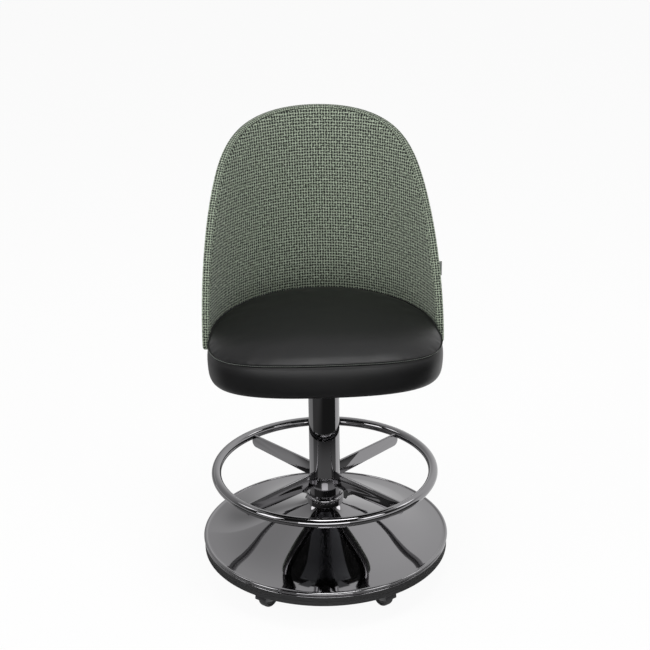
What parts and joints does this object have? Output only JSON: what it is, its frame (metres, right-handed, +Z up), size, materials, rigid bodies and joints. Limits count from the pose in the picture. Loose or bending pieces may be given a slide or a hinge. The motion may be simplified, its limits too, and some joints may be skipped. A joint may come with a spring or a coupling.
{
  "type": "swivel stool",
  "caption": "Swivel stool with a wrap-around upholstered back, a padded seat, a foot ring on a round column and a weighted trumpet base on casters.",
  "frame": {"origin": "on the floor, on the column's axis, which is also the seat's swivel axis", "axes": "+Z up along the column, the seat faces -Y, +X is to the right of someone looking at the front"},
  "size_m": [0.5188, 0.5188, 0.9515],
  "materials": {
    "black_nickel": "mirror polished black nickel",
    "cast_iron": "matt black paint",
    "black_rubber": "matt",
    "black_plastic": "satin",
    "zinc_steel": "zinc plated",
    "bare_steel": "turned",
    "white_nylon": "matt",
    "plywood": "raw",
    "leatherette": "satin, fine grain",
    "green_weave": "coarse basket weave, matt",
    "grey_tape": "matt",
    "dust_cloth": "matt"
  },
  "bodies": {
    "base": {"ballast_plate": "cast_iron", "bumper_ring": "black_rubber", "base_cover": "black_nickel", "column_flange": "cast_iron", "column_tube": "black_nickel", "collar_ring": "black_nickel", "flange_bolt_1": "zinc_steel", "flange_bolt_2": "zinc_steel", "flange_bolt_3": "zinc_steel", "flange_bolt_4": "zinc_steel", "foot_ring": "black_nickel", "foot_spoke_1": "black_nickel", "foot_spoke_2": "black_nickel", "foot_spoke_3": "black_nickel", "foot_spoke_4": "black_nickel", "column_cap": "bare_steel", "upper_bush": "white_nylon", "lower_bush": "white_nylon", "lower_race": "bare_steel", "ball_cage": "bare_steel", "caster_plate_1": "zinc_steel", "caster_plate_2": "zinc_steel", "caster_plate_3": "zinc_steel", "caster_plate_4": "zinc_steel", "caster_plate_5": "zinc_steel"},
    "caster_1": {"caster_hood_1": "black_plastic", "caster_axle_1": "zinc_steel"},
    "wheel_1": {"caster_wheel_1": "black_rubber"},
    "caster_2": {"caster_hood_2": "black_plastic", "caster_axle_2": "zinc_steel"},
    "wheel_2": {"caster_wheel_2": "black_rubber"},
    "caster_3": {"caster_hood_3": "black_plastic", "caster_axle_3": "zinc_steel"},
    "wheel_3": {"caster_wheel_3": "black_rubber"},
    "caster_4": {"caster_hood_4": "black_plastic", "caster_axle_4": "zinc_steel"},
    "wheel_4": {"caster_wheel_4": "black_rubber"},
    "caster_5": {"caster_hood_5": "black_plastic", "caster_axle_5": "zinc_steel"},
    "wheel_5": {"caster_wheel_5": "black_rubber"},
    "seat": {"upper_race": "bare_steel", "swivel_spindle": "bare_steel", "retaining_ring": "zinc_steel", "back_outer_cover": "green_weave", "back_shell": "plywood", "back_pad": "green_weave", "back_edge_strip": "green_weave", "back_bracket_left": "zinc_steel", "back_bracket_right": "zinc_steel", "side_label": "grey_tape", "swivel_plate": "bare_steel", "dust_cover": "dust_cloth", "seat_board": "plywood", "seat_bolt_1": "zinc_steel", "seat_bolt_2": "zinc_steel", "seat_bolt_3": "zinc_steel", "seat_bolt_4": "zinc_steel", "bracket_bolt_left": "zinc_steel", "bracket_bolt_right": "zinc_steel", "seat_cushion": "leatherette"}
  },
  "joints": [
    {"name": "seat_swivel", "type": "hinge", "parent": "base", "child": "seat", "pos_m": [0, 0, 0.4604], "axis": [0, 0, 1], "continuous": true},
    {"name": "caster_1_swivel", "type": "hinge", "parent": "base", "child": "caster_1", "pos_m": [0.09803, -0.15096, 0.056], "axis": [0, 0, 1], "continuous": true},
    {"name": "wheel_1_spin", "type": "hinge", "parent": "caster_1", "child": "wheel_1", "pos_m": [0.10893, -0.16773, 0.025], "axis": [0.8387, 0.5446, 0], "continuous": true},
    {"name": "caster_2_swivel", "type": "hinge", "parent": "base", "child": "caster_2", "pos_m": [0.17387, 0.04659, 0.056], "axis": [0, 0, 1], "continuous": true},
    {"name": "wheel_2_spin", "type": "hinge", "parent": "caster_2", "child": "wheel_2", "pos_m": [0.19318, 0.05176, 0.025], "axis": [-0.2588, 0.9659, 0], "continuous": true},
    {"name": "caster_3_swivel", "type": "hinge", "parent": "base", "child": "caster_3", "pos_m": [0.00942, 0.17975, 0.056], "axis": [0, 0, 1], "continuous": true},
    {"name": "wheel_3_spin", "type": "hinge", "parent": "caster_3", "child": "wheel_3", "pos_m": [0.01047, 0.19973, 0.025], "axis": [-0.9986, 0.0523, 0], "continuous": true},
    {"name": "caster_4_swivel", "type": "hinge", "parent": "base", "child": "caster_4", "pos_m": [-0.16804, 0.06451, 0.056], "axis": [0, 0, 1], "continuous": true},
    {"name": "wheel_4_spin", "type": "hinge", "parent": "caster_4", "child": "wheel_4", "pos_m": [-0.18672, 0.07167, 0.025], "axis": [-0.3584, -0.9336, 0], "continuous": true},
    {"name": "caster_5_swivel", "type": "hinge", "parent": "base", "child": "caster_5", "pos_m": [-0.11328, -0.13989, 0.056], "axis": [0, 0, 1], "continuous": true},
    {"name": "wheel_5_spin", "type": "hinge", "parent": "caster_5", "child": "wheel_5", "pos_m": [-0.12586, -0.15543, 0.025], "axis": [0.7771, -0.6293, 0], "continuous": true}
  ]
}
